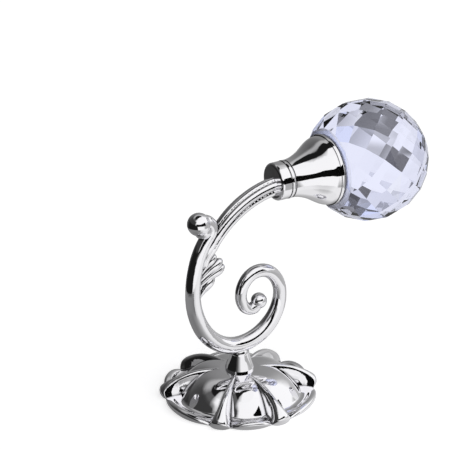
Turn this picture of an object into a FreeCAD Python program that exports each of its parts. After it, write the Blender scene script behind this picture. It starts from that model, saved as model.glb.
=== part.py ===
import FreeCAD, Part
import math
import os
from FreeCAD import Placement, Rotation, Vector

# Curtain holdback: a cast wall rosette, a cast scroll arm, a turned collar and a cut glass ball.
# The origin is the middle of the wall face, +Z points away from the wall and +X towards the ball.
# The arm lies in the XZ plane. Lengths are millimetres and angles are degrees.

# Wall rosette
PETALS = 6                  # narrow ones and wide ones by turns, the wide ones with a screw hole
NARROW_PETAL_PITCH = 49.0   # angle between the ridges beside a narrow petal
ROSETTE_TURN = 8.3          # from +X to the middle of the first petal
PETAL_REACH = 32.5          # outline radius at the middle of a petal
RIDGE_REACH = 33.2          # outline radius at the end of a ridge
NOTCH_RADIUS = 31.0         # outline radius between a petal and a ridge
EDGE_TUCK = 1.2             # how far the rounded edge draws in at the wall
RIDGE_ROOT_ANGLE = 3.2      # half the width of a ridge at the hub
RIDGE_END_ANGLE = 8.6       # half the width of a ridge at its blunt end
RIDGE_END = 3.8             # height of a ridge above the wall at its blunt end
RIDGE_SWEEP = 2.5           # how round a ridge is along its length
HUB_RADIUS = 8.2
HUB_HEIGHT = 12.0
GROOVE_DEPTH = 0.7          # how far the groove beside a ridge lies below the petal
TROUGH_RADIUS = 25.6        # foot of a petal, inside its lip
TROUGH_HEIGHT = 2.0
LIP_HEIGHT = 3.6
PETAL_SWEEP = 2.8           # how round a petal is along its length
PETAL_BULGE = 2.4           # how full a petal is across its width
PETAL_COLUMNS = 11
RIDGE_COLUMNS = 7
ROSETTE_WALL = 1.9
HUB_FLOOR = 3.2
HOLLOW_CORNER = 1.5         # rounding of the hollow back under the hub
WALL_SCREWS = 3
WALL_SCREW_CIRCLE = 47.6    # diameter of the circle of wall screw holes
WALL_SCREW_HOLE = 4.0
SCREW_BOSS = 8.0

# Neck of the arm and the screw that holds it
NECK_FOOT = 11.8
NECK_WAIST = 8.0
NECK_LENGTH = 8.6
NECK_SHOULDER = 1.6
NECK_EDGE = 0.8
NECK_SINK = 1.3             # how far the scroll's bar sinks into the neck
NECK_TAPER = 0.44           # share of the taper that is left halfway up
SCREW_DIAMETER = 5.0
SCREW_HEAD = 9.2
SCREW_HEAD_HEIGHT = 3.1
SCREW_GRIP = 7.5            # length of the screw inside the neck
SCREW_SLOT = 1.2
THREAD_END_GAP = 1.0        # depth of the threaded hole past the screw
THREAD_GAP = 0.05
HOLE_GAP = 0.25

# Bars of the scroll, as diameters
FOOT_BAR = 6.9
HEEL_BAR = 7.0
STEM_BAR = 6.2
VOLUTE_BAR = 5.7
LOOP_BAR = 5.5
EYE_BAR = 4.8
SCROLL_EYE = 6.6            # ball at the inner end of the scroll

# Tangent arcs of the scroll, from the neck outwards: bend radius, turn, bar diameter at the arc's end
LOOP_ARCS = [
    (19.4, 45, 6.6),
    (18.6, 45, LOOP_BAR),
    (13.8, 45, LOOP_BAR),
    (8.8, 45, LOOP_BAR),
    (7.6, 45, 5.2),
    (10.2, 45, EYE_BAR),
    (8.6, 40, EYE_BAR),
    (3.8, 125, EYE_BAR),
]
STEM_ARCS = [
    (17.5, -30, HEEL_BAR),
    (23.5, -30, 6.9),
    (34.0, -30, STEM_BAR),
    (50.0, -18, 6.0),
    (28.0, -22, VOLUTE_BAR),
]
VOLUTE_ARCS = [
    (3.8, 80, 5.9),
    (3.7, 80, 6.2),
]
VOLUTE_BALL = 9.5           # ball that the volute's bar ends in
VOLUTE_EYE = 7.2            # smaller ball in the middle of the curl

# Reeded upper arm: where it leaves the stem, measured from the stem's upright point
ARM_ROOT_OUT = 4.4
ARM_ROOT_UP = 11.2
ARM_ROOT_HEADING = 72
ARM_ROOT_BAR = 3.0
ARM_MIDDLE_BAR = 7.2
ARM_END_BAR = 8.0
ARM_ARCS = [
    (42.0, -12, 6.2),
    (42.0, -22, ARM_MIDDLE_BAR),
    (38.6, -30.5, ARM_END_BAR),
]
ARM_DROP = 1.9              # the arm meets the collar this far below the collar's axis
REEDS = 6
REED_DEPTH = 0.17           # depth of the grooves as a share of the arm's radius

# Leaf lobes on the inner side of the stem, measured from the stem's upright point:
# root out and up, tip out and up, tip diameter
LEAF_LOBES = [
    (1.2, -3.6, 9.4, 5.6, 3.0),
    (2.4, 3.0, 14.0, 9.6, 3.4),
    (3.0, 5.8, 13.0, 12.4, 3.6),
    (3.4, 8.4, 10.2, 15.0, 3.0),
    (4.4, 12.4, 8.0, 19.0, 3.0),
]

# Collar
COLLAR_LENGTH = 26.6
COLLAR_END = 15.6           # diameter of the plain band at the small end
COLLAR_EDGE = 1.2           # round edge of the small end
COLLAR_BAND = 4.4
COLLAR_RING = 1.2           # raised ring between two grooves
COLLAR_RING_RISE = 0.15
COLLAR_GROOVE = 0.6
COLLAR_GROOVE_DEPTH = 0.4
COLLAR_MOUTH = 29.4
COLLAR_LIP = 2.7
COLLAR_LIP_STEP = 0.4
COLLAR_LIP_ROUND = 0.35
COLLAR_LIP_CROWN = 0.1
COLLAR_FLOOR = 5.0
COLLAR_BORE = 11.0
COLLAR_SEAT_WIDTH = 2.4     # ring at the mouth that the glass is glued to
# bell of the collar from throat to mouth, as shares of its length and of its flare
BELL_CURVE = [(0, 0), (0.28, 0.13), (0.52, 0.41), (0.74, 0.77), (0.89, 0.95), (1, 1)]
BELL_END_SLOPE = 0.2

# Threaded end of the arm and the nut inside the collar
SPIGOT = 4.0                # threaded end of the arm
NUT_FLATS = 7.0
NUT_HEIGHT = 3.2
THREAD_PAST_NUT = 1.2

# Ball
BALL = 50.6                 # across the corners of its facets
BALL_FLAT = 18.7            # distance of the glued flat from the ball's centre
FACETS_AROUND = 12
BALL_ROLL = 7.0
TABLE_LATITUDE = 70.0       # each end has a table at the first ring past this latitude

STATION_STEP = 4.0          # spacing of the sections along a bar
FIELD_STEPS = 9             # points along a petal from the hub to its foot


def spot(x, z):
    return Vector(x, 0, z)


def walk(start, heading, bar, arcs):
    """Sections along a chain of tangent arcs in the XZ plane: point, heading and bar diameter."""
    stations = [(start, heading, bar)]
    for bend, turn, end_bar in arcs:
        point, first, begin_bar = stations[-1]
        side = math.copysign(1, turn)
        count = max(3, math.ceil(bend * math.radians(abs(turn)) / STATION_STEP))
        ahead = math.radians(first)
        centre = point + spot(-math.sin(ahead), math.cos(ahead)) * bend * side
        for step in range(1, count + 1):
            share = step / count
            angle = math.radians(first + turn * share)
            place = centre + spot(math.sin(angle), -math.cos(angle)) * bend * side
            stations.append((place, first + turn * share, begin_bar + (end_bar - begin_bar) * share))
    return stations


def turned_back(stations):
    return [(point, heading + 180, bar) for point, heading, bar in reversed(stations)]


def set_across(wire, point, heading):
    """Places a section that was drawn on the XY plane square to the bar's heading."""
    angle = math.radians(heading)
    ahead = spot(math.cos(angle), math.sin(angle))
    inward = spot(-math.sin(angle), math.cos(angle))
    wire.Placement = Placement(point, Rotation(inward, Vector(0, -1, 0), ahead, "ZXY"))
    return wire


def round_section(bar):
    return Part.Wire(Part.makeCircle(bar / 2))


def reeded_section(bar):
    """A bundle of reeds: round ribs with grooves between them."""
    samples = REEDS * 6
    points = []
    for index in range(samples):
        angle = 2 * math.pi * index / samples
        rib = abs(math.cos(REEDS * angle / 2))
        radius = bar / 2 * (1 - REED_DEPTH * (1 - rib) ** 1.5)
        points.append(Vector(radius * math.cos(angle), radius * math.sin(angle), 0))
    curve = Part.BSplineCurve()
    curve.interpolate(points, PeriodicFlag=True)
    return Part.Wire(curve.toShape())


def bar_along(stations, section):
    wires = [set_across(section(bar), point, heading) for point, heading, bar in stations]
    return Part.makeLoft(wires, True)


def ball_at(point, diameter):
    return Part.makeSphere(diameter / 2, point)


def lobe(root, tip, diameter):
    """A leaf lobe: a teardrop turned about the line from its root to its rounded tip."""
    along = tip - root
    length = along.Length
    radius = diameter / 2
    drop = Part.BSplineCurve()
    drop.interpolate([
        Vector(radius * 0.55, 0, 0),
        Vector(radius * 0.7, 0, length * 0.4),
        Vector(radius, 0, length - radius * 0.6),
        Vector(0, 0, length + radius * 0.4),
    ], InitialTangent=Vector(0, 0, 1), FinalTangent=Vector(-1, 0, 0))
    start = drop.StartPoint
    end = drop.EndPoint
    edges = [drop.toShape(), Part.makeLine(end, Vector()), Part.makeLine(Vector(), start)]
    solid = Part.Face(Part.Wire(edges)).revolve(Vector(), Vector(0, 0, 1), 360)
    solid.Placement = Placement(root, Rotation(Vector(0, 0, 1), along))
    return solid


# Lay-out of the arm, shared by the pieces that sit on it
NECK_TOP = HUB_HEIGHT + NECK_LENGTH
SCROLL_FOOT = spot(0, NECK_TOP - NECK_SINK + FOOT_BAR / 2)
LOOP = walk(SCROLL_FOOT, 0, FOOT_BAR, LOOP_ARCS)
STEM = walk(SCROLL_FOOT, 180, FOOT_BAR, STEM_ARCS)
UPRIGHT = walk(SCROLL_FOOT, 180, FOOT_BAR, STEM_ARCS[:3])[-1][0]
ARM_ROOT = UPRIGHT + spot(ARM_ROOT_OUT, ARM_ROOT_UP)
ARM = walk(ARM_ROOT, ARM_ROOT_HEADING, ARM_ROOT_BAR, ARM_ARCS)
ARM_END = ARM[-1][0]
COLLAR_AXIS = ARM_END.z + ARM_DROP
COLLAR_X = ARM_END.x
MOUTH_X = COLLAR_X + COLLAR_LENGTH
BALL_CENTRE = Vector(MOUTH_X + BALL_FLAT, 0, COLLAR_AXIS)
NUT_X = COLLAR_X + COLLAR_FLOOR
SPIGOT_END = NUT_X + NUT_HEIGHT + THREAD_PAST_NUT
SCREW_SEAT = HUB_HEIGHT - HUB_FLOOR
X_AXIS = Vector(1, 0, 0)


def dome_height(radius, reach, foot, sweep):
    """Height of a rounded line that starts level at the hub and comes down to its foot."""
    share = min(1, (radius - HUB_RADIUS) / (reach - HUB_RADIUS))
    return foot + (HUB_HEIGHT - foot) * (1 - share ** sweep)


def petal_field(steps):
    """Middle line of a petal from the hub down to the trough inside its lip."""
    points = []
    for index in range(steps):
        angle = math.pi / 2 * index / (steps - 1)
        radius = HUB_RADIUS + (TROUGH_RADIUS - HUB_RADIUS) * math.sin(angle)
        points.append((radius, dome_height(radius, TROUGH_RADIUS, TROUGH_HEIGHT, PETAL_SWEEP)))
    return points


def petal_lip():
    """Middle line of a petal from the trough over the lip to the wall."""
    width = PETAL_REACH - TROUGH_RADIUS
    return [
        (TROUGH_RADIUS + width * 0.2, TROUGH_HEIGHT * 0.85),
        (TROUGH_RADIUS + width * 0.42, TROUGH_HEIGHT),
        (TROUGH_RADIUS + width * 0.58, LIP_HEIGHT),
        (TROUGH_RADIUS + width * 0.84, LIP_HEIGHT),
        (PETAL_REACH, LIP_HEIGHT * 0.78),
        (PETAL_REACH, LIP_HEIGHT * 0.32),
        (PETAL_REACH - EDGE_TUCK, 0),
    ]


def stretched(radius, reach):
    """The radius on a line with another reach that matches a radius on the petal."""
    return HUB_RADIUS + (radius - HUB_RADIUS) * (reach - HUB_RADIUS) / (PETAL_REACH - HUB_RADIUS)


def groove_line(field, lip):
    """Bottom of the groove between a petal and a ridge."""
    points = []
    for index, (radius, height) in enumerate(field):
        dip = GROOVE_DEPTH * math.sin(math.pi * index / (len(field) - 1))
        points.append((stretched(radius, NOTCH_RADIUS), height - dip))
    for index, (radius, height) in enumerate(lip):
        fade = math.cos(math.pi / 2 * (index + 1) / len(lip))
        points.append((stretched(radius, NOTCH_RADIUS), min(height, TROUGH_HEIGHT * fade)))
    points[-1] = (NOTCH_RADIUS - EDGE_TUCK, 0)
    return points


def ridge_line(field, lip):
    """Crest of a ridge, with the blunt end that stands on the wall."""
    points = []
    for radius, _ in field + lip[:-3]:
        out = stretched(radius, RIDGE_REACH)
        points.append((out, dome_height(out, RIDGE_REACH, RIDGE_END, RIDGE_SWEEP)))
    end = [(RIDGE_REACH, RIDGE_END * 0.86), (RIDGE_REACH, RIDGE_END * 0.35), (RIDGE_REACH - EDGE_TUCK, 0)]
    return points + end


def patch(edge_line, middle_line, centre_angle, half_angles, columns, bulge):
    """A face between two edge lines that rises or dips to a middle line, as a clamped cubic surface."""
    poles = []
    for (edge_r, edge_z), (mid_r, mid_z), half_angle in zip(edge_line, middle_line, half_angles):
        row = []
        for index in range(columns):
            across = 2 * index / (columns - 1) - 1
            share = bulge(across)
            radius = edge_r + (mid_r - edge_r) * share
            angle = math.radians(centre_angle + half_angle * across)
            height = edge_z + (mid_z - edge_z) * share
            row.append(Vector(radius * math.cos(angle), radius * math.sin(angle), height))
        poles.append(row)
    surface = Part.BSplineSurface()
    u_knots, u_mults = clamped_knots(len(poles))
    v_knots, v_mults = clamped_knots(columns)
    surface.buildFromPolesMultsKnots(poles, u_mults, v_mults, u_knots, v_knots, False, False, 3, 3)
    return surface.toShape()


def clamped_knots(poles):
    spans = poles - 3
    return [float(k) for k in range(spans + 1)], [4] + [1] * (spans - 1) + [4]


def closed_solid(faces):
    shell = Part.makeShell(faces)
    shell.sewShape()
    solid = Part.makeSolid(shell)
    if solid.Volume < 0:
        solid.reverse()
    return solid


def ring_face(faces, height):
    """Flat face inside the edges that all lie at one height."""
    edges = [e for f in faces for e in f.Edges
             if abs(e.BoundBox.ZMin - height) < 1e-6 and abs(e.BoundBox.ZMax - height) < 1e-6]
    return Part.Face(Part.Wire(Part.__sortEdges__(edges)))


def rosette_blank():
    pitch = 360 / PETALS
    field = petal_field(FIELD_STEPS)
    lip = petal_lip()
    petal = field + lip
    groove = groove_line(field, lip)
    ridge = ridge_line(field, lip)
    shares = [(radius - HUB_RADIUS) / (PETAL_REACH - HUB_RADIUS) for radius, _ in petal]
    ridge_half = [RIDGE_ROOT_ANGLE + (RIDGE_END_ANGLE - RIDGE_ROOT_ANGLE) * share for share in shares]
    narrow_half = NARROW_PETAL_PITCH / 2
    faces = []
    for index in range(PETALS):
        angle = ROSETTE_TURN + pitch * index
        half_pitch = pitch - narrow_half if index % 2 else narrow_half
        petal_half = [half_pitch - half for half in ridge_half]
        faces.append(patch(groove, petal, angle, petal_half, PETAL_COLUMNS,
                           lambda across: 1 - abs(across) ** PETAL_BULGE))
        faces.append(patch(groove, ridge, angle + half_pitch, ridge_half, RIDGE_COLUMNS,
                           lambda across: math.sqrt(1 - across ** 2)))
    faces.append(ring_face(faces, HUB_HEIGHT))
    faces.append(ring_face(faces[:-1], 0))
    return closed_solid(faces)


def rosette_hollow():
    """Hollow back that keeps the wall under the petals and stops below the hub."""
    under = GROOVE_DEPTH + ROSETTE_WALL
    ceiling = [(r, z - under) for r, z in petal_field(FIELD_STEPS) if 0 < z - under < SCREW_SEAT]
    curve = Part.BSplineCurve()
    corner = (ceiling[0][0] - HOLLOW_CORNER, SCREW_SEAT)
    curve.interpolate([Vector(r, 0, z) for r, z in [corner] + ceiling])
    corners = [curve.EndPoint, Vector(curve.EndPoint.x, 0, 0), Vector(), Vector(0, 0, SCREW_SEAT),
               curve.StartPoint]
    outline = [curve.toShape()] + [Part.makeLine(a, b) for a, b in zip(corners, corners[1:])]
    return Part.Face(Part.Wire(outline)).revolve(Vector(), Vector(0, 0, 1), 360)


def wall_screw_spots():
    first = ROSETTE_TURN + 360 / PETALS
    for index in range(WALL_SCREWS):
        angle = math.radians(first + 360 / WALL_SCREWS * index)
        yield Vector(math.cos(angle), math.sin(angle), 0) * (WALL_SCREW_CIRCLE / 2)


def wall_rosette():
    hollow = rosette_hollow()
    for place in wall_screw_spots():
        hollow = hollow.cut(Part.makeCylinder(SCREW_BOSS / 2, HUB_HEIGHT, place))
    body = rosette_blank().cut(hollow)
    for place in wall_screw_spots():
        body = body.cut(Part.makeCylinder(WALL_SCREW_HOLE / 2, HUB_HEIGHT, place))
    return body.cut(Part.makeCylinder(SCREW_DIAMETER / 2 + HOLE_GAP, HUB_HEIGHT))


def neck():
    """Flared neck turned about Z, from the hub up to a round top inside the scroll's bar."""
    foot_r = NECK_FOOT / 2
    waist_r = NECK_WAIST / 2
    shoulder = NECK_TOP - NECK_SHOULDER
    flare = Part.BSplineCurve()
    rise = shoulder - HUB_HEIGHT - NECK_EDGE
    flare.interpolate([
        Vector(foot_r, 0, HUB_HEIGHT + NECK_EDGE),
        Vector(waist_r + (foot_r - waist_r) * NECK_TAPER, 0, HUB_HEIGHT + NECK_EDGE + rise / 2),
        Vector(waist_r, 0, shoulder),
    ])
    crown = Vector(0, 0, NECK_TOP + NECK_SHOULDER)
    half = math.sqrt(0.5)
    over = Vector(waist_r * half, 0, shoulder + 2 * NECK_SHOULDER * half)
    corners = [crown, Vector(0, 0, HUB_HEIGHT), Vector(foot_r, 0, HUB_HEIGHT), flare.StartPoint]
    outline = [flare.toShape(), arc_between(flare.EndPoint, over, crown)]
    outline += [Part.makeLine(a, b) for a, b in zip(corners, corners[1:])]
    return Part.Face(Part.Wire(outline)).revolve(Vector(), Vector(0, 0, 1), 360)


def volute():
    """The curl on top of the stem, the ball that it ends in and the eye that it winds round."""
    curl = walk(*STEM[-1], VOLUTE_ARCS)
    end, heading, _ = curl[-1]
    angle = math.radians(heading)
    middle = end + spot(-math.sin(angle), math.cos(angle)) * VOLUTE_ARCS[-1][0]
    return [bar_along(curl, round_section), ball_at(end, VOLUTE_BALL), ball_at(middle, VOLUTE_EYE)]


def spigot():
    """Threaded end of the arm, on the collar's axis."""
    begin = Vector(COLLAR_X - SPIGOT / 4, 0, COLLAR_AXIS)
    return Part.makeCylinder(SPIGOT / 2, SPIGOT_END - begin.x, begin, X_AXIS)


def reeded_arm():
    """Upper arm, trimmed flat where it meets the collar's end."""
    point, heading, bar = ARM[-1]
    angle = math.radians(heading)
    beyond = point + spot(math.cos(angle), math.sin(angle)) * bar / 4
    arm = bar_along(ARM + [(beyond, heading, bar)], reeded_section)
    trim = Part.makeBox(bar, 2 * bar, 2 * bar, Vector(COLLAR_X, -bar, point.z - bar))
    return arm.cut(trim)


def scroll_arm():
    eye, _, _ = LOOP[-1]
    bars = turned_back(STEM)[:-1] + LOOP
    solids = [neck(), ball_at(eye, SCROLL_EYE), reeded_arm(), spigot()] + volute()
    for root_out, root_up, tip_out, tip_up, diameter in LEAF_LOBES:
        solids.append(lobe(UPRIGHT + spot(root_out, root_up), UPRIGHT + spot(tip_out, tip_up), diameter))
    casting = bar_along(bars, round_section).multiFuse(solids)
    thread = Part.makeCylinder(SCREW_DIAMETER / 2 + THREAD_GAP, SCREW_GRIP + THREAD_END_GAP,
                               Vector(0, 0, HUB_HEIGHT))
    return casting.cut(thread)


def arm_screw():
    """Pan head under the hub, shank up into the neck, slotted head."""
    under = Vector(0, 0, SCREW_SEAT - SCREW_HEAD_HEIGHT)
    head = Part.makeCylinder(SCREW_HEAD / 2, SCREW_HEAD_HEIGHT, under)
    head = head.makeFillet(SCREW_HEAD_HEIGHT * 0.4, [head.Edges[2]])
    shank = Part.makeCylinder(SCREW_DIAMETER / 2, HUB_FLOOR + SCREW_GRIP, Vector(0, 0, SCREW_SEAT))
    slot = Part.makeBox(SCREW_HEAD, SCREW_SLOT, SCREW_HEAD_HEIGHT,
                        Vector(-SCREW_HEAD / 2, -SCREW_SLOT / 2, SCREW_SEAT - SCREW_HEAD_HEIGHT * 1.5))
    return head.fuse(shank).cut(slot)


def on_collar(along, radius):
    return Vector(COLLAR_X + along, 0, COLLAR_AXIS + radius)


def arc_between(start, middle, end):
    return Part.Arc(start, middle, end).toShape()


def collar_bell(begin, end):
    """Trumpet curve between two points: hollow at the throat and rounded over towards the mouth."""
    run = end - begin
    curve = Part.BSplineCurve()
    curve.interpolate([begin + Vector(run.x * along, 0, run.z * out) for along, out in BELL_CURVE],
                      InitialTangent=X_AXIS, FinalTangent=Vector(1, 0, BELL_END_SLOPE))
    return curve.toShape()


def collar_groove(along, radius):
    return arc_between(on_collar(along, radius),
                       on_collar(along + COLLAR_GROOVE / 2, radius - COLLAR_GROOVE_DEPTH),
                       on_collar(along + COLLAR_GROOVE, radius))


def collar_outside():
    """Edges of the trumpet from the small end to the mouth: round edge, band, ring, bell and lip."""
    end_r = COLLAR_END / 2
    mouth_r = COLLAR_MOUTH / 2
    ring_begin = COLLAR_BAND + COLLAR_GROOVE
    ring_end = ring_begin + COLLAR_RING
    bell_begin = ring_end + COLLAR_GROOVE
    bell_end = COLLAR_LENGTH - COLLAR_LIP
    lip_a = on_collar(bell_end, mouth_r)
    lip_b = on_collar(COLLAR_LENGTH, mouth_r - COLLAR_LIP_ROUND)
    under_lip = on_collar(bell_end, mouth_r - COLLAR_LIP_STEP)
    corner = COLLAR_EDGE * (1 - math.sqrt(0.5))
    return [
        arc_between(on_collar(0, end_r - COLLAR_EDGE), on_collar(corner, end_r - corner),
                    on_collar(COLLAR_EDGE, end_r)),
        Part.makeLine(on_collar(COLLAR_EDGE, end_r), on_collar(COLLAR_BAND, end_r)),
        collar_groove(COLLAR_BAND, end_r),
        arc_between(on_collar(ring_begin, end_r),
                    on_collar((ring_begin + ring_end) / 2, end_r + COLLAR_RING_RISE),
                    on_collar(ring_end, end_r)),
        collar_groove(ring_end, end_r),
        collar_bell(on_collar(bell_begin, end_r), under_lip),
        Part.makeLine(under_lip, lip_a),
        arc_between(lip_a, on_collar((bell_end + COLLAR_LENGTH) / 2, mouth_r + COLLAR_LIP_CROWN), lip_b),
    ]


def ball_collar():
    lip_r = COLLAR_MOUTH / 2 - COLLAR_LIP_ROUND
    hole_r = SPIGOT / 2 + HOLE_GAP
    bore_r = COLLAR_BORE / 2
    inside = [
        on_collar(COLLAR_LENGTH, lip_r),
        on_collar(COLLAR_LENGTH, lip_r - COLLAR_SEAT_WIDTH),
        on_collar(COLLAR_FLOOR + NUT_HEIGHT + THREAD_PAST_NUT, bore_r),
        on_collar(COLLAR_FLOOR, bore_r),
        on_collar(COLLAR_FLOOR, hole_r),
        on_collar(0, hole_r),
        on_collar(0, COLLAR_END / 2 - COLLAR_EDGE),
    ]
    edges = collar_outside() + [Part.makeLine(a, b) for a, b in zip(inside, inside[1:])]
    return Part.Face(Part.Wire(edges)).revolve(on_collar(0, 0), X_AXIS, 360)


def collar_nut():
    corner = NUT_FLATS / math.sqrt(3)
    place = Vector(NUT_X, 0, COLLAR_AXIS)
    sixths = [math.radians(60 * k) for k in range(7)]
    points = [place + Vector(0, math.cos(a), math.sin(a)) * corner for a in sixths]
    blank = Part.Face(Part.makePolygon(points)).extrude(X_AXIS * NUT_HEIGHT)
    return blank.cut(Part.makeCylinder(SPIGOT / 2 + THREAD_GAP, NUT_HEIGHT, place, X_AXIS))


def ring_latitudes():
    """Latitudes of the corner rings, so that each four-cornered facet is flat on the sphere."""
    half_step = math.pi / FACETS_AROUND
    rings = [0.0, half_step]
    while math.degrees(rings[-1]) < TABLE_LATITUDE:
        below = rings[-2] / 2
        middle = rings[-1]
        squeeze = math.cos(middle) * math.cos(half_step)
        top = math.cos(below) * (1 - squeeze) - math.sin(below) * math.sin(middle)
        bottom = math.cos(below) * math.sin(middle) - math.sin(below) * (1 + squeeze)
        rings.append(2 * math.atan(top / bottom))
    return rings


def ball_corner(latitude, half_steps):
    around = math.pi * half_steps / FACETS_AROUND + math.radians(BALL_ROLL)
    out = BALL / 2 * math.cos(latitude)
    along = BALL / 2 * math.sin(latitude)
    return BALL_CENTRE + Vector(along, out * math.cos(around), out * math.sin(around))


def flat_facet(corners):
    return Part.Face(Part.makePolygon(corners + corners[:1]))


def cut_ball():
    """Facets between staggered rings of corners, with a table at each end."""
    rings = ring_latitudes()
    latitudes = [-a for a in reversed(rings[1:])] + rings
    last = len(latitudes) - 1
    faces = []
    for ring, latitude in enumerate(latitudes):
        for index in range(FACETS_AROUND):
            left = 2 * index + ring % 2
            corners = [ball_corner(latitude, left)]
            if ring > 0:
                corners.append(ball_corner(latitudes[ring - 1], left + 1))
            corners.append(ball_corner(latitude, left + 2))
            if ring < last:
                corners.append(ball_corner(latitudes[ring + 1], left + 1))
            faces.append(flat_facet(corners))
    for ring in (0, last):
        table = [ball_corner(latitudes[ring], 2 * k + ring % 2) for k in range(FACETS_AROUND)]
        faces.append(flat_facet(table))
    return closed_solid(faces)


def crystal_ball():
    """The cut ball, ground flat where it is glued to the collar's mouth."""
    ground_off = Part.makeBox(BALL, BALL, BALL, Vector(MOUTH_X - BALL, -BALL / 2, COLLAR_AXIS - BALL / 2))
    return cut_ball().cut(ground_off)


PIECES = {
    "wall_rosette": wall_rosette,
    "scroll_arm": scroll_arm,
    "arm_screw": arm_screw,
    "ball_collar": ball_collar,
    "collar_nut": collar_nut,
    "crystal_ball": crystal_ball,
}


def main():
    os.makedirs("parts", exist_ok=True)
    for name, make in PIECES.items():
        make().exportStep("parts/" + name + ".step")


main()
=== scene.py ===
import math

import bpy
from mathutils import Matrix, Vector

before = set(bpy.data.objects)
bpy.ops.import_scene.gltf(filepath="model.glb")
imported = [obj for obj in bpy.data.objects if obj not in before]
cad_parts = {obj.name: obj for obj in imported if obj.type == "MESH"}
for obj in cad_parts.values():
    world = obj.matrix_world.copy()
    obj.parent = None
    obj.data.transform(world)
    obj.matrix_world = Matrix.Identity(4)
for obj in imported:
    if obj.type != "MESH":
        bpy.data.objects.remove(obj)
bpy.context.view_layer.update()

# Lengths are in metres and angles in the tables are in degrees.

# Camera, measured from the photograph
CAMERA_AZIMUTH = math.radians(-31.9)
CAMERA_ELEVATION = math.radians(25.82)
CAMERA_DISTANCE = 1.0
CAMERA_CLIP_START = 0.01
CAMERA_TARGET = Vector((0.015, 0.0, 0.055))
# where the target lies in the square image, from its top left corner
TARGET_PIXEL = (271.7, 264.6)
FOCAL_PIXELS = 2457.0
IMAGE_PIXELS = 450.0
SENSOR_MM = 36.0

# Studio round the object, in four bands of height: bearing, brightness.
# Bearing 0 is towards the camera and 90 is the camera's right.
STUDIO_LEVEL = [
    (-180, 0.28),
    (-150, 0.12),
    (-120, 0.03),
    (-95, 0.01),
    (-30, 0.01),
    (-14, 0.10),
    (0, 0.40),
    (14, 0.90),
    (70, 0.90),
    (80, 0.50),
    (145, 0.50),
    (165, 0.35),
    (180, 0.28),
]
STUDIO_RAISED = [
    (-180, 0.26),
    (-150, 0.14),
    (-120, 0.06),
    (-90, 0.04),
    (-36, 0.04),
    (-22, 0.95),
    (125, 1.0),
    (145, 0.45),
    (165, 0.30),
    (180, 0.26),
]
STUDIO_HIGH = [
    (-180, 0.48),
    (-115, 0.38),
    (-90, 0.10),
    (-55, 0.10),
    (-30, 0.95),
    (125, 1.0),
    (150, 0.55),
    (180, 0.48),
]
STUDIO_TOP = [
    (-180, 0.01),
    (-52, 0.01),
    (-44, 0.50),
    (-15, 0.95),
    (125, 0.95),
    (133, 0.01),
    (180, 0.01),
]
# elevations at which one band gives way to the next
LEVEL_TO_RAISED = (10, 16)
RAISED_TO_HIGH = (40, 52)
HIGH_TO_TOP = (59, 63)
WORLD_STRENGTH = 1.0
WHITE = (1, 1, 1, 1)

# Floor as the plating sees it, in three rings round the foot: bearing, brightness
FLOOR_NEAR = [
    (-180, 0.40),
    (-140, 0.22),
    (-40, 0.18),
    (-10, 0.26),
    (20, 0.42),
    (50, 0.80),
    (110, 0.80),
    (150, 0.46),
    (180, 0.40),
]
FLOOR_MIDDLE = [
    (-180, 0.38),
    (-140, 0.24),
    (-40, 0.22),
    (-10, 0.20),
    (0, 0.16),
    (5, 0.16),
    (12, 0.65),
    (40, 0.85),
    (100, 0.85),
    (120, 0.42),
    (150, 0.40),
    (180, 0.38),
]
FLOOR_FAR = [
    (-180, 0.38),
    (-150, 0.14),
    (-120, 0.04),
    (-100, 0.01),
    (-12, 0.01),
    (-7, 0.95),
    (48, 0.95),
    (62, 0.40),
    (150, 0.50),
    (180, 0.38),
]
# distances from the foot at which one ring gives way to the next
FLOOR_NEAR_TO_MIDDLE = (0.065, 0.085)
FLOOR_MIDDLE_TO_FAR = (0.13, 0.15)
# floor as the camera sees it
FLOOR_SIZE = 8
FLOOR_COLOUR = (0.85, 0.85, 0.86, 1)
FLOOR_GLOW = 0.62

# Black flag in front, level with the collar, as a curved strip round the foot: bearing, bottom, top
FLAG_RADIUS = 0.30
FLAG_COLUMNS = [
    (-25, 0.088, 0.202),
    (18, 0.088, 0.202),
    (48, 0.078, 0.232),
    (72, 0.078, 0.232),
]
FLAG_STEPS = 8
FLAG_COLOUR = (0.01, 0.01, 0.01, 1)

# Studio, and floor in five rings, as they show through the glass:
# bearing, tone from 0 for slate to 1 for pale violet
GLASS_STUDIO = [
    (-180, 1.0),
    (-100, 1.0),
    (-90, 0.1),
    (-30, 0.1),
    (-20, 1.0),
    (122, 1.0),
    (128, 0.1),
    (146, 0.1),
    (149, 0.75),
    (160, 0.75),
    (163, 0.0),
    (174, 0.0),
    (178, 1.0),
    (180, 1.0),
]
GLASS_FLOOR_CLOSE = [
    (-180, 1.0),
    (-120, 1.0),
    (-110, 0.3),
    (-70, 0.3),
    (-60, 1.0),
    (180, 1.0),
]
GLASS_FLOOR_NEAR = [
    (-180, 1.0),
    (143, 1.0),
    (150, 0.2),
    (156, 0.1),
    (168, 0.1),
    (172, 1.0),
    (180, 1.0),
]
GLASS_FLOOR_MIDDLE = [
    (-180, 1.0),
    (156, 1.0),
    (160, 0.5),
    (172, 0.5),
    (176, 1.0),
    (180, 1.0),
]
GLASS_FLOOR_FAR = [
    (-180, 0.05),
    (-172, 0.05),
    (-170, 1.0),
    (170, 1.0),
    (175, 0.05),
    (180, 0.05),
]
GLASS_FLOOR_OUTER = [
    (-180, 1.0),
    (-60, 1.0),
    (-50, 0.2),
    (-10, 0.2),
    (0, 1.0),
    (180, 1.0),
]
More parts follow.
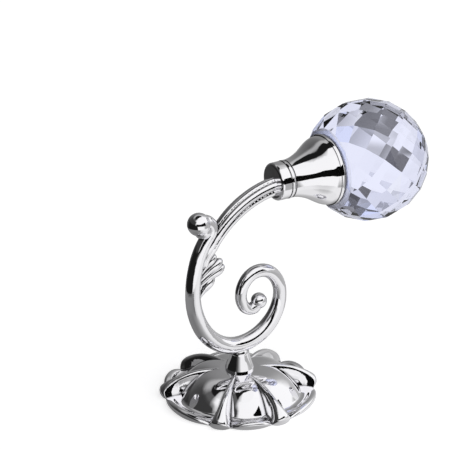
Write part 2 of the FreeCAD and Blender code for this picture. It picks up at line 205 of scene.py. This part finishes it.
# distances from the foot at which one ring gives way to the next
GLASS_CLOSE_TO_NEAR = (0.096, 0.104)
GLASS_NEAR_TO_MIDDLE = (0.148, 0.158)
GLASS_MIDDLE_TO_FAR = (0.190, 0.200)
GLASS_FAR_TO_OUTER = (0.265, 0.280)
GLASS_SLATE = (0.10, 0.10, 0.12, 1)
GLASS_PALE = (0.84, 0.86, 1.0, 1)

# Plating, with clouds in its roughness and faint waves in its surface
PLATING_COLOUR = (0.955, 0.95, 0.975, 1)
PLATING_ROUGHNESS = 0.015
CLOUD_ROUGHNESS = 0.03
CLOUD_SCALE = 120
CLOUD_DETAIL = 4
WAVE_SCALE = 260
WAVE_DETAIL = 2
WAVE_STRENGTH = 0.04
WAVE_HEIGHT = 0.001
# painted shade in the crevices, which darkens the plating's colour, and the openness at which it
# starts to clear and at which it is gone
PAINTED_CREVICE_SHADE = (0.05, 0.05, 0.055, 1)
CREVICE_DEPTH = 0.0015
CREVICE_OPENNESS = (0.45, 0.90)
CREVICE_SAMPLES = 8

# Glass. A facet's cast comes from its normal, rounded so that the whole facet gets the same one.
GLASS_IOR = 1.52
NORMAL_STEP = 0.02
# share of the facets, from 0 to 1, at which each cast starts, and its colour
FACET_CASTS = [
    (0.0, (0.97, 0.97, 1.0)),
    (0.70, (0.62, 0.63, 0.70)),
    (0.82, (0.70, 0.76, 1.0)),
    (0.92, (1.0, 1.0, 0.97)),
]
# the ground flat that is glued to the collar
GROUND_DEPTH = 0.0001
GROUND_ROUGHNESS = 0.5

# Steel of the hidden fasteners, with grain in its roughness
STEEL_COLOUR = (0.56, 0.57, 0.59, 1)
STEEL_ROUGHNESS = 0.2
GRAIN_ROUGHNESS = 0.25
GRAIN_SCALE = 900
GRAIN_DETAIL = 3

CHROME_PIECES = ("wall_rosette", "scroll_arm", "ball_collar")
STEEL_PIECES = ("arm_screw", "collar_nut")
GLASS_PIECE = "crystal_ball"

# the mix node's sockets for colours
MIX_FIRST, MIX_SECOND, MIX_RESULT = 6, 7, 2


def add_node(tree, kind, inputs=None, **settings):
    """A node with its settings, each input given linked to a socket or set to a constant."""
    node = tree.nodes.new(kind)
    for name, value in settings.items():
        setattr(node, name, value)
    for key, source in (inputs or {}).items():
        if isinstance(source, bpy.types.NodeSocket):
            tree.links.new(source, node.inputs[key])
        else:
            node.inputs[key].default_value = source
    return node


def math_node(tree, operation, *values):
    node = add_node(tree, "ShaderNodeMath", dict(enumerate(values)), operation=operation)
    return node.outputs[0]


def ramp_node(tree, source, stops, interpolation="LINEAR"):
    """A ramp whose stops are (place from 0 to 1, colour)."""
    node = add_node(tree, "ShaderNodeValToRGB", {"Fac": source})
    node.color_ramp.interpolation = interpolation
    elements = node.color_ramp.elements
    while len(elements) < len(stops):
        elements.new(0.5)
    for element, (place, colour) in zip(elements, stops):
        element.position = place
        element.color = (*colour, 1)
    return node.outputs["Color"]


def smooth_step(tree, source, limits):
    """From 0 at the first limit to 1 at the second."""
    node = add_node(
        tree,
        "ShaderNodeMapRange",
        {"Value": source, "From Min": limits[0], "From Max": limits[1]},
        interpolation_type="SMOOTHSTEP",
    )
    return node.outputs["Result"]


def blend(tree, share, first, second):
    """The first colour where the share is 0, the second where it is 1."""
    node = add_node(
        tree,
        "ShaderNodeMix",
        {"Factor": share, MIX_FIRST: first, MIX_SECOND: second},
        data_type="RGBA",
    )
    return node.outputs[MIX_RESULT]


def object_noise(tree, scale, detail):
    coords = add_node(tree, "ShaderNodeTexCoord")
    inputs = {"Vector": coords.outputs["Object"], "Scale": scale, "Detail": detail}
    return add_node(tree, "ShaderNodeTexNoise", inputs).outputs["Fac"]


def view_axes():
    """The camera's right, up and back (towards the camera)."""
    sin_a, cos_a = math.sin(CAMERA_AZIMUTH), math.cos(CAMERA_AZIMUTH)
    sin_e, cos_e = math.sin(CAMERA_ELEVATION), math.cos(CAMERA_ELEVATION)
    back = Vector((sin_a * cos_e, -cos_a * cos_e, sin_e))
    right = Vector((cos_a, sin_a, 0))
    return right, back.cross(right), back


def make_camera():
    """The camera, turned so that the target falls on its pixel."""
    right, up, back = view_axes()
    place = CAMERA_TARGET + back * CAMERA_DISTANCE
    across = (TARGET_PIXEL[0] - IMAGE_PIXELS / 2) / FOCAL_PIXELS * CAMERA_DISTANCE
    down = (TARGET_PIXEL[1] - IMAGE_PIXELS / 2) / FOCAL_PIXELS * CAMERA_DISTANCE
    aim = CAMERA_TARGET - right * across + up * down
    data = bpy.data.cameras.new("camera")
    data.sensor_width = SENSOR_MM
    data.lens = SENSOR_MM * FOCAL_PIXELS / IMAGE_PIXELS
    data.clip_start = CAMERA_CLIP_START
    camera = bpy.data.objects.new("camera", data)
    camera.location = place
    camera.rotation_euler = (aim - place).to_track_quat("-Z", "Y").to_euler()
    bpy.context.scene.collection.objects.link(camera)
    bpy.context.scene.camera = camera


def bearing_and_axes(tree, vector):
    """A vector's bearing, 0 to 1 for -180 to 180 degrees, and its parts in the camera's heading."""
    turn = add_node(
        tree,
        "ShaderNodeVectorRotate",
        {"Vector": vector, "Angle": -CAMERA_AZIMUTH},
        rotation_type="Z_AXIS",
    )
    axes = add_node(tree, "ShaderNodeSeparateXYZ", {0: turn.outputs[0]})
    to_camera = math_node(tree, "MULTIPLY", axes.outputs["Y"], -1.0)
    bearing = math_node(tree, "ARCTAN2", axes.outputs["X"], to_camera)
    return math_node(tree, "MULTIPLY_ADD", bearing, 0.5 / math.pi, 0.5), axes


def bearing_ramp(tree, bearing, stops):
    """A ramp of greys whose stops are (bearing, grey)."""
    return ramp_node(tree, bearing, [((deg + 180) / 360, (grey,) * 3) for deg, grey in stops])


def stack_ramps(tree, bearing, level, layers):
    """Bearing ramps one after another, each taking over between its two levels."""
    shade = None
    for stops, change in layers:
        ramp = bearing_ramp(tree, bearing, stops)
        if shade is None:
            shade = ramp
        else:
            shade = blend(tree, smooth_step(tree, level, change), shade, ramp)
    return shade


def swap_through_glass(tree, path, shade, clearness):
    """The shade, but slate to pale violet for rays that come through the glass."""
    through_glass = blend(tree, clearness, GLASS_SLATE, GLASS_PALE)
    return blend(tree, path.outputs["Is Transmission Ray"], shade, through_glass)


def swap_for_camera(tree, path, others, camera):
    """One shader for all rays but the camera's own, which get the other."""
    inputs = {0: path.outputs["Is Camera Ray"], 1: others.outputs[0], 2: camera.outputs[0]}
    return add_node(tree, "ShaderNodeMixShader", inputs)


def make_world():
    """A studio that is dark on the left and bright on the right, and white to the camera itself."""
    world = bpy.data.worlds.new("studio")
    world.use_nodes = True
    tree = world.node_tree
    tree.nodes.clear()
    coords = add_node(tree, "ShaderNodeTexCoord")
    path = add_node(tree, "ShaderNodeLightPath")
    bearing, axes = bearing_and_axes(tree, coords.outputs["Generated"])
    height = math_node(tree, "ARCSINE", axes.outputs["Z"])
    height = math_node(tree, "MULTIPLY", height, 180 / math.pi)
    bands = (
        (STUDIO_LEVEL, None),
        (STUDIO_RAISED, LEVEL_TO_RAISED),
        (STUDIO_HIGH, RAISED_TO_HIGH),
        (STUDIO_TOP, HIGH_TO_TOP),
    )
    shade = stack_ramps(tree, bearing, height, bands)
    clearness = bearing_ramp(tree, bearing, GLASS_STUDIO)
    shade = swap_through_glass(tree, path, shade, clearness)
    inputs = {"Color": shade, "Strength": WORLD_STRENGTH}
    light = add_node(tree, "ShaderNodeBackground", inputs)
    white = add_node(tree, "ShaderNodeBackground", {"Color": WHITE})
    seen = swap_for_camera(tree, path, light, white)
    add_node(tree, "ShaderNodeOutputWorld", {"Surface": seen.outputs[0]})
    bpy.context.scene.world = world


def new_material(name):
    material = bpy.data.materials.new(name)
    material.use_nodes = True
    tree = material.node_tree
    tree.nodes.clear()
    return material, tree


def set_surface(tree, shader):
    add_node(tree, "ShaderNodeOutputMaterial", {"Surface": shader.outputs[0]})


def floor_material():
    """White with a soft shadow to the camera, and rings of brightness to all other rays."""
    material, tree = new_material("floor_white")
    coords = add_node(tree, "ShaderNodeTexCoord")
    path = add_node(tree, "ShaderNodeLightPath")
    bearing, _ = bearing_and_axes(tree, coords.outputs["Object"])
    inputs = {0: coords.outputs["Object"]}
    length = add_node(tree, "ShaderNodeVectorMath", inputs, operation="LENGTH")
    distance = length.outputs["Value"]
    rings = (
        (FLOOR_NEAR, None),
        (FLOOR_MIDDLE, FLOOR_NEAR_TO_MIDDLE),
        (FLOOR_FAR, FLOOR_MIDDLE_TO_FAR),
    )
    glass_rings = (
        (GLASS_FLOOR_CLOSE, None),
        (GLASS_FLOOR_NEAR, GLASS_CLOSE_TO_NEAR),
        (GLASS_FLOOR_MIDDLE, GLASS_NEAR_TO_MIDDLE),
        (GLASS_FLOOR_FAR, GLASS_MIDDLE_TO_FAR),
        (GLASS_FLOOR_OUTER, GLASS_FAR_TO_OUTER),
    )
    shade = stack_ramps(tree, bearing, distance, rings)
    clearness = stack_ramps(tree, bearing, distance, glass_rings)
    shade = swap_through_glass(tree, path, shade, clearness)
    mirrored = add_node(tree, "ShaderNodeEmission", {"Color": shade})
    diffuse = add_node(tree, "ShaderNodeBsdfDiffuse", {"Color": FLOOR_COLOUR})
    glow = add_node(tree, "ShaderNodeEmission", {"Strength": FLOOR_GLOW})
    inputs = {0: diffuse.outputs[0], 1: glow.outputs[0]}
    plain = add_node(tree, "ShaderNodeAddShader", inputs)
    set_surface(tree, swap_for_camera(tree, path, mirrored, plain))
    return material


def make_floor():
    bpy.ops.mesh.primitive_plane_add(size=FLOOR_SIZE, location=(0, 0, 0))
    floor = bpy.context.object
    floor.name = "floor"
    floor.data.materials.append(floor_material())


def flag_mesh():
    """The curved strip, with steps between its columns."""
    right, _, back = view_axes()
    front = Vector((back.x, back.y, 0)).normalized()
    columns = [Vector(FLAG_COLUMNS[0])]
    for first, second in zip(FLAG_COLUMNS, FLAG_COLUMNS[1:]):
        for step in range(FLAG_STEPS):
            columns.append(Vector(first).lerp(Vector(second), (step + 1) / FLAG_STEPS))
    points = []
    for degrees, bottom, top in columns:
        bearing = math.radians(degrees)
        place = (front * math.cos(bearing) + right * math.sin(bearing)) * FLAG_RADIUS
        points += [(place.x, place.y, height) for height in (bottom, top)]
    faces = [(2 * i, 2 * i + 2, 2 * i + 3, 2 * i + 1) for i in range(len(columns) - 1)]
    mesh = bpy.data.meshes.new("flag")
    mesh.from_pydata(points, [], faces)
    return mesh


def make_flag():
    """The black flag. Only reflections show it."""
    mesh = flag_mesh()
    flag = bpy.data.objects.new("flag", mesh)
    bpy.context.scene.collection.objects.link(flag)
    material, tree = new_material("flag_black")
    set_surface(tree, add_node(tree, "ShaderNodeBsdfDiffuse", {"Color": FLAG_COLOUR}))
    mesh.materials.append(material)
    flag.visible_camera = False
    flag.visible_diffuse = False
    flag.visible_transmission = False
    flag.visible_shadow = False


def chrome_material():
    """Bright plating over cast zinc: mirror-like, with waves and clouds, and painted shade
    darkening its colour in the crevices.
    """
    material, tree = new_material("plated_metal")
    # painted shade: the colour turns dark where ambient occlusion finds the surface closed in
    openness = add_node(
        tree,
        "ShaderNodeAmbientOcclusion",
        {"Distance": CREVICE_DEPTH},
        only_local=True,
        samples=CREVICE_SAMPLES,
    )
    open_share = smooth_step(tree, openness.outputs["AO"], CREVICE_OPENNESS)
    colour = blend(tree, open_share, PAINTED_CREVICE_SHADE, PLATING_COLOUR)
    clouds = object_noise(tree, CLOUD_SCALE, CLOUD_DETAIL)
    rough = math_node(tree, "MULTIPLY_ADD", clouds, CLOUD_ROUGHNESS, PLATING_ROUGHNESS)
    waves = object_noise(tree, WAVE_SCALE, WAVE_DETAIL)
    inputs = {"Strength": WAVE_STRENGTH, "Distance": WAVE_HEIGHT, "Height": waves}
    normal = add_node(tree, "ShaderNodeBump", inputs).outputs["Normal"]
    inputs = {"Metallic": 1, "Base Color": colour, "Roughness": rough, "Normal": normal}
    set_surface(tree, add_node(tree, "ShaderNodeBsdfPrincipled", inputs))
    return material


def steel_material():
    """Zinc-plated steel of the hidden fasteners: greyer and duller than the castings."""
    material, tree = new_material("fastener_steel")
    grain = object_noise(tree, GRAIN_SCALE, GRAIN_DETAIL)
    rough = math_node(tree, "MULTIPLY_ADD", grain, GRAIN_ROUGHNESS, STEEL_ROUGHNESS)
    inputs = {"Metallic": 1, "Base Color": STEEL_COLOUR, "Roughness": rough}
    set_surface(tree, add_node(tree, "ShaderNodeBsdfPrincipled", inputs))
    return material


def glass_material(ball):
    """Clear cut glass. Each facet has a faint cast of its own, and the glued flat is ground."""
    material, tree = new_material("crystal")
    facet = add_node(tree, "ShaderNodeNewGeometry")
    inputs = {0: facet.outputs["True Normal"], 1: (NORMAL_STEP,) * 3}
    rounded = add_node(tree, "ShaderNodeVectorMath", inputs, operation="SNAP")
    inputs = {"Vector": rounded.outputs[0]}
    dice = add_node(tree, "ShaderNodeTexWhiteNoise", inputs, noise_dimensions="3D")
    cast = ramp_node(tree, dice.outputs["Value"], FACET_CASTS, "CONSTANT")

    coords = add_node(tree, "ShaderNodeTexCoord")
    axes = add_node(tree, "ShaderNodeSeparateXYZ", {0: coords.outputs["Object"]})
    flat = min(vertex.co.x for vertex in ball.data.vertices)
    ground = math_node(tree, "LESS_THAN", axes.outputs["X"], flat + GROUND_DEPTH)
    rough = math_node(tree, "MULTIPLY", ground, GROUND_ROUGHNESS)

    inputs = {
        "Base Color": cast,
        "Roughness": rough,
        "IOR": GLASS_IOR,
        "Transmission Weight": 1,
    }
    set_surface(tree, add_node(tree, "ShaderNodeBsdfPrincipled", inputs))
    return material


def paint(node, material):
    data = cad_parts[node].data
    data.materials.clear()
    data.materials.append(material)


make_camera()
make_world()
make_floor()
make_flag()
chrome = chrome_material()
for name in CHROME_PIECES:
    paint(name, chrome)
steel = steel_material()
for name in STEEL_PIECES:
    paint(name, steel)
paint(GLASS_PIECE, glass_material(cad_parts[GLASS_PIECE]))
bpy.context.scene.view_settings.view_transform = "Standard"
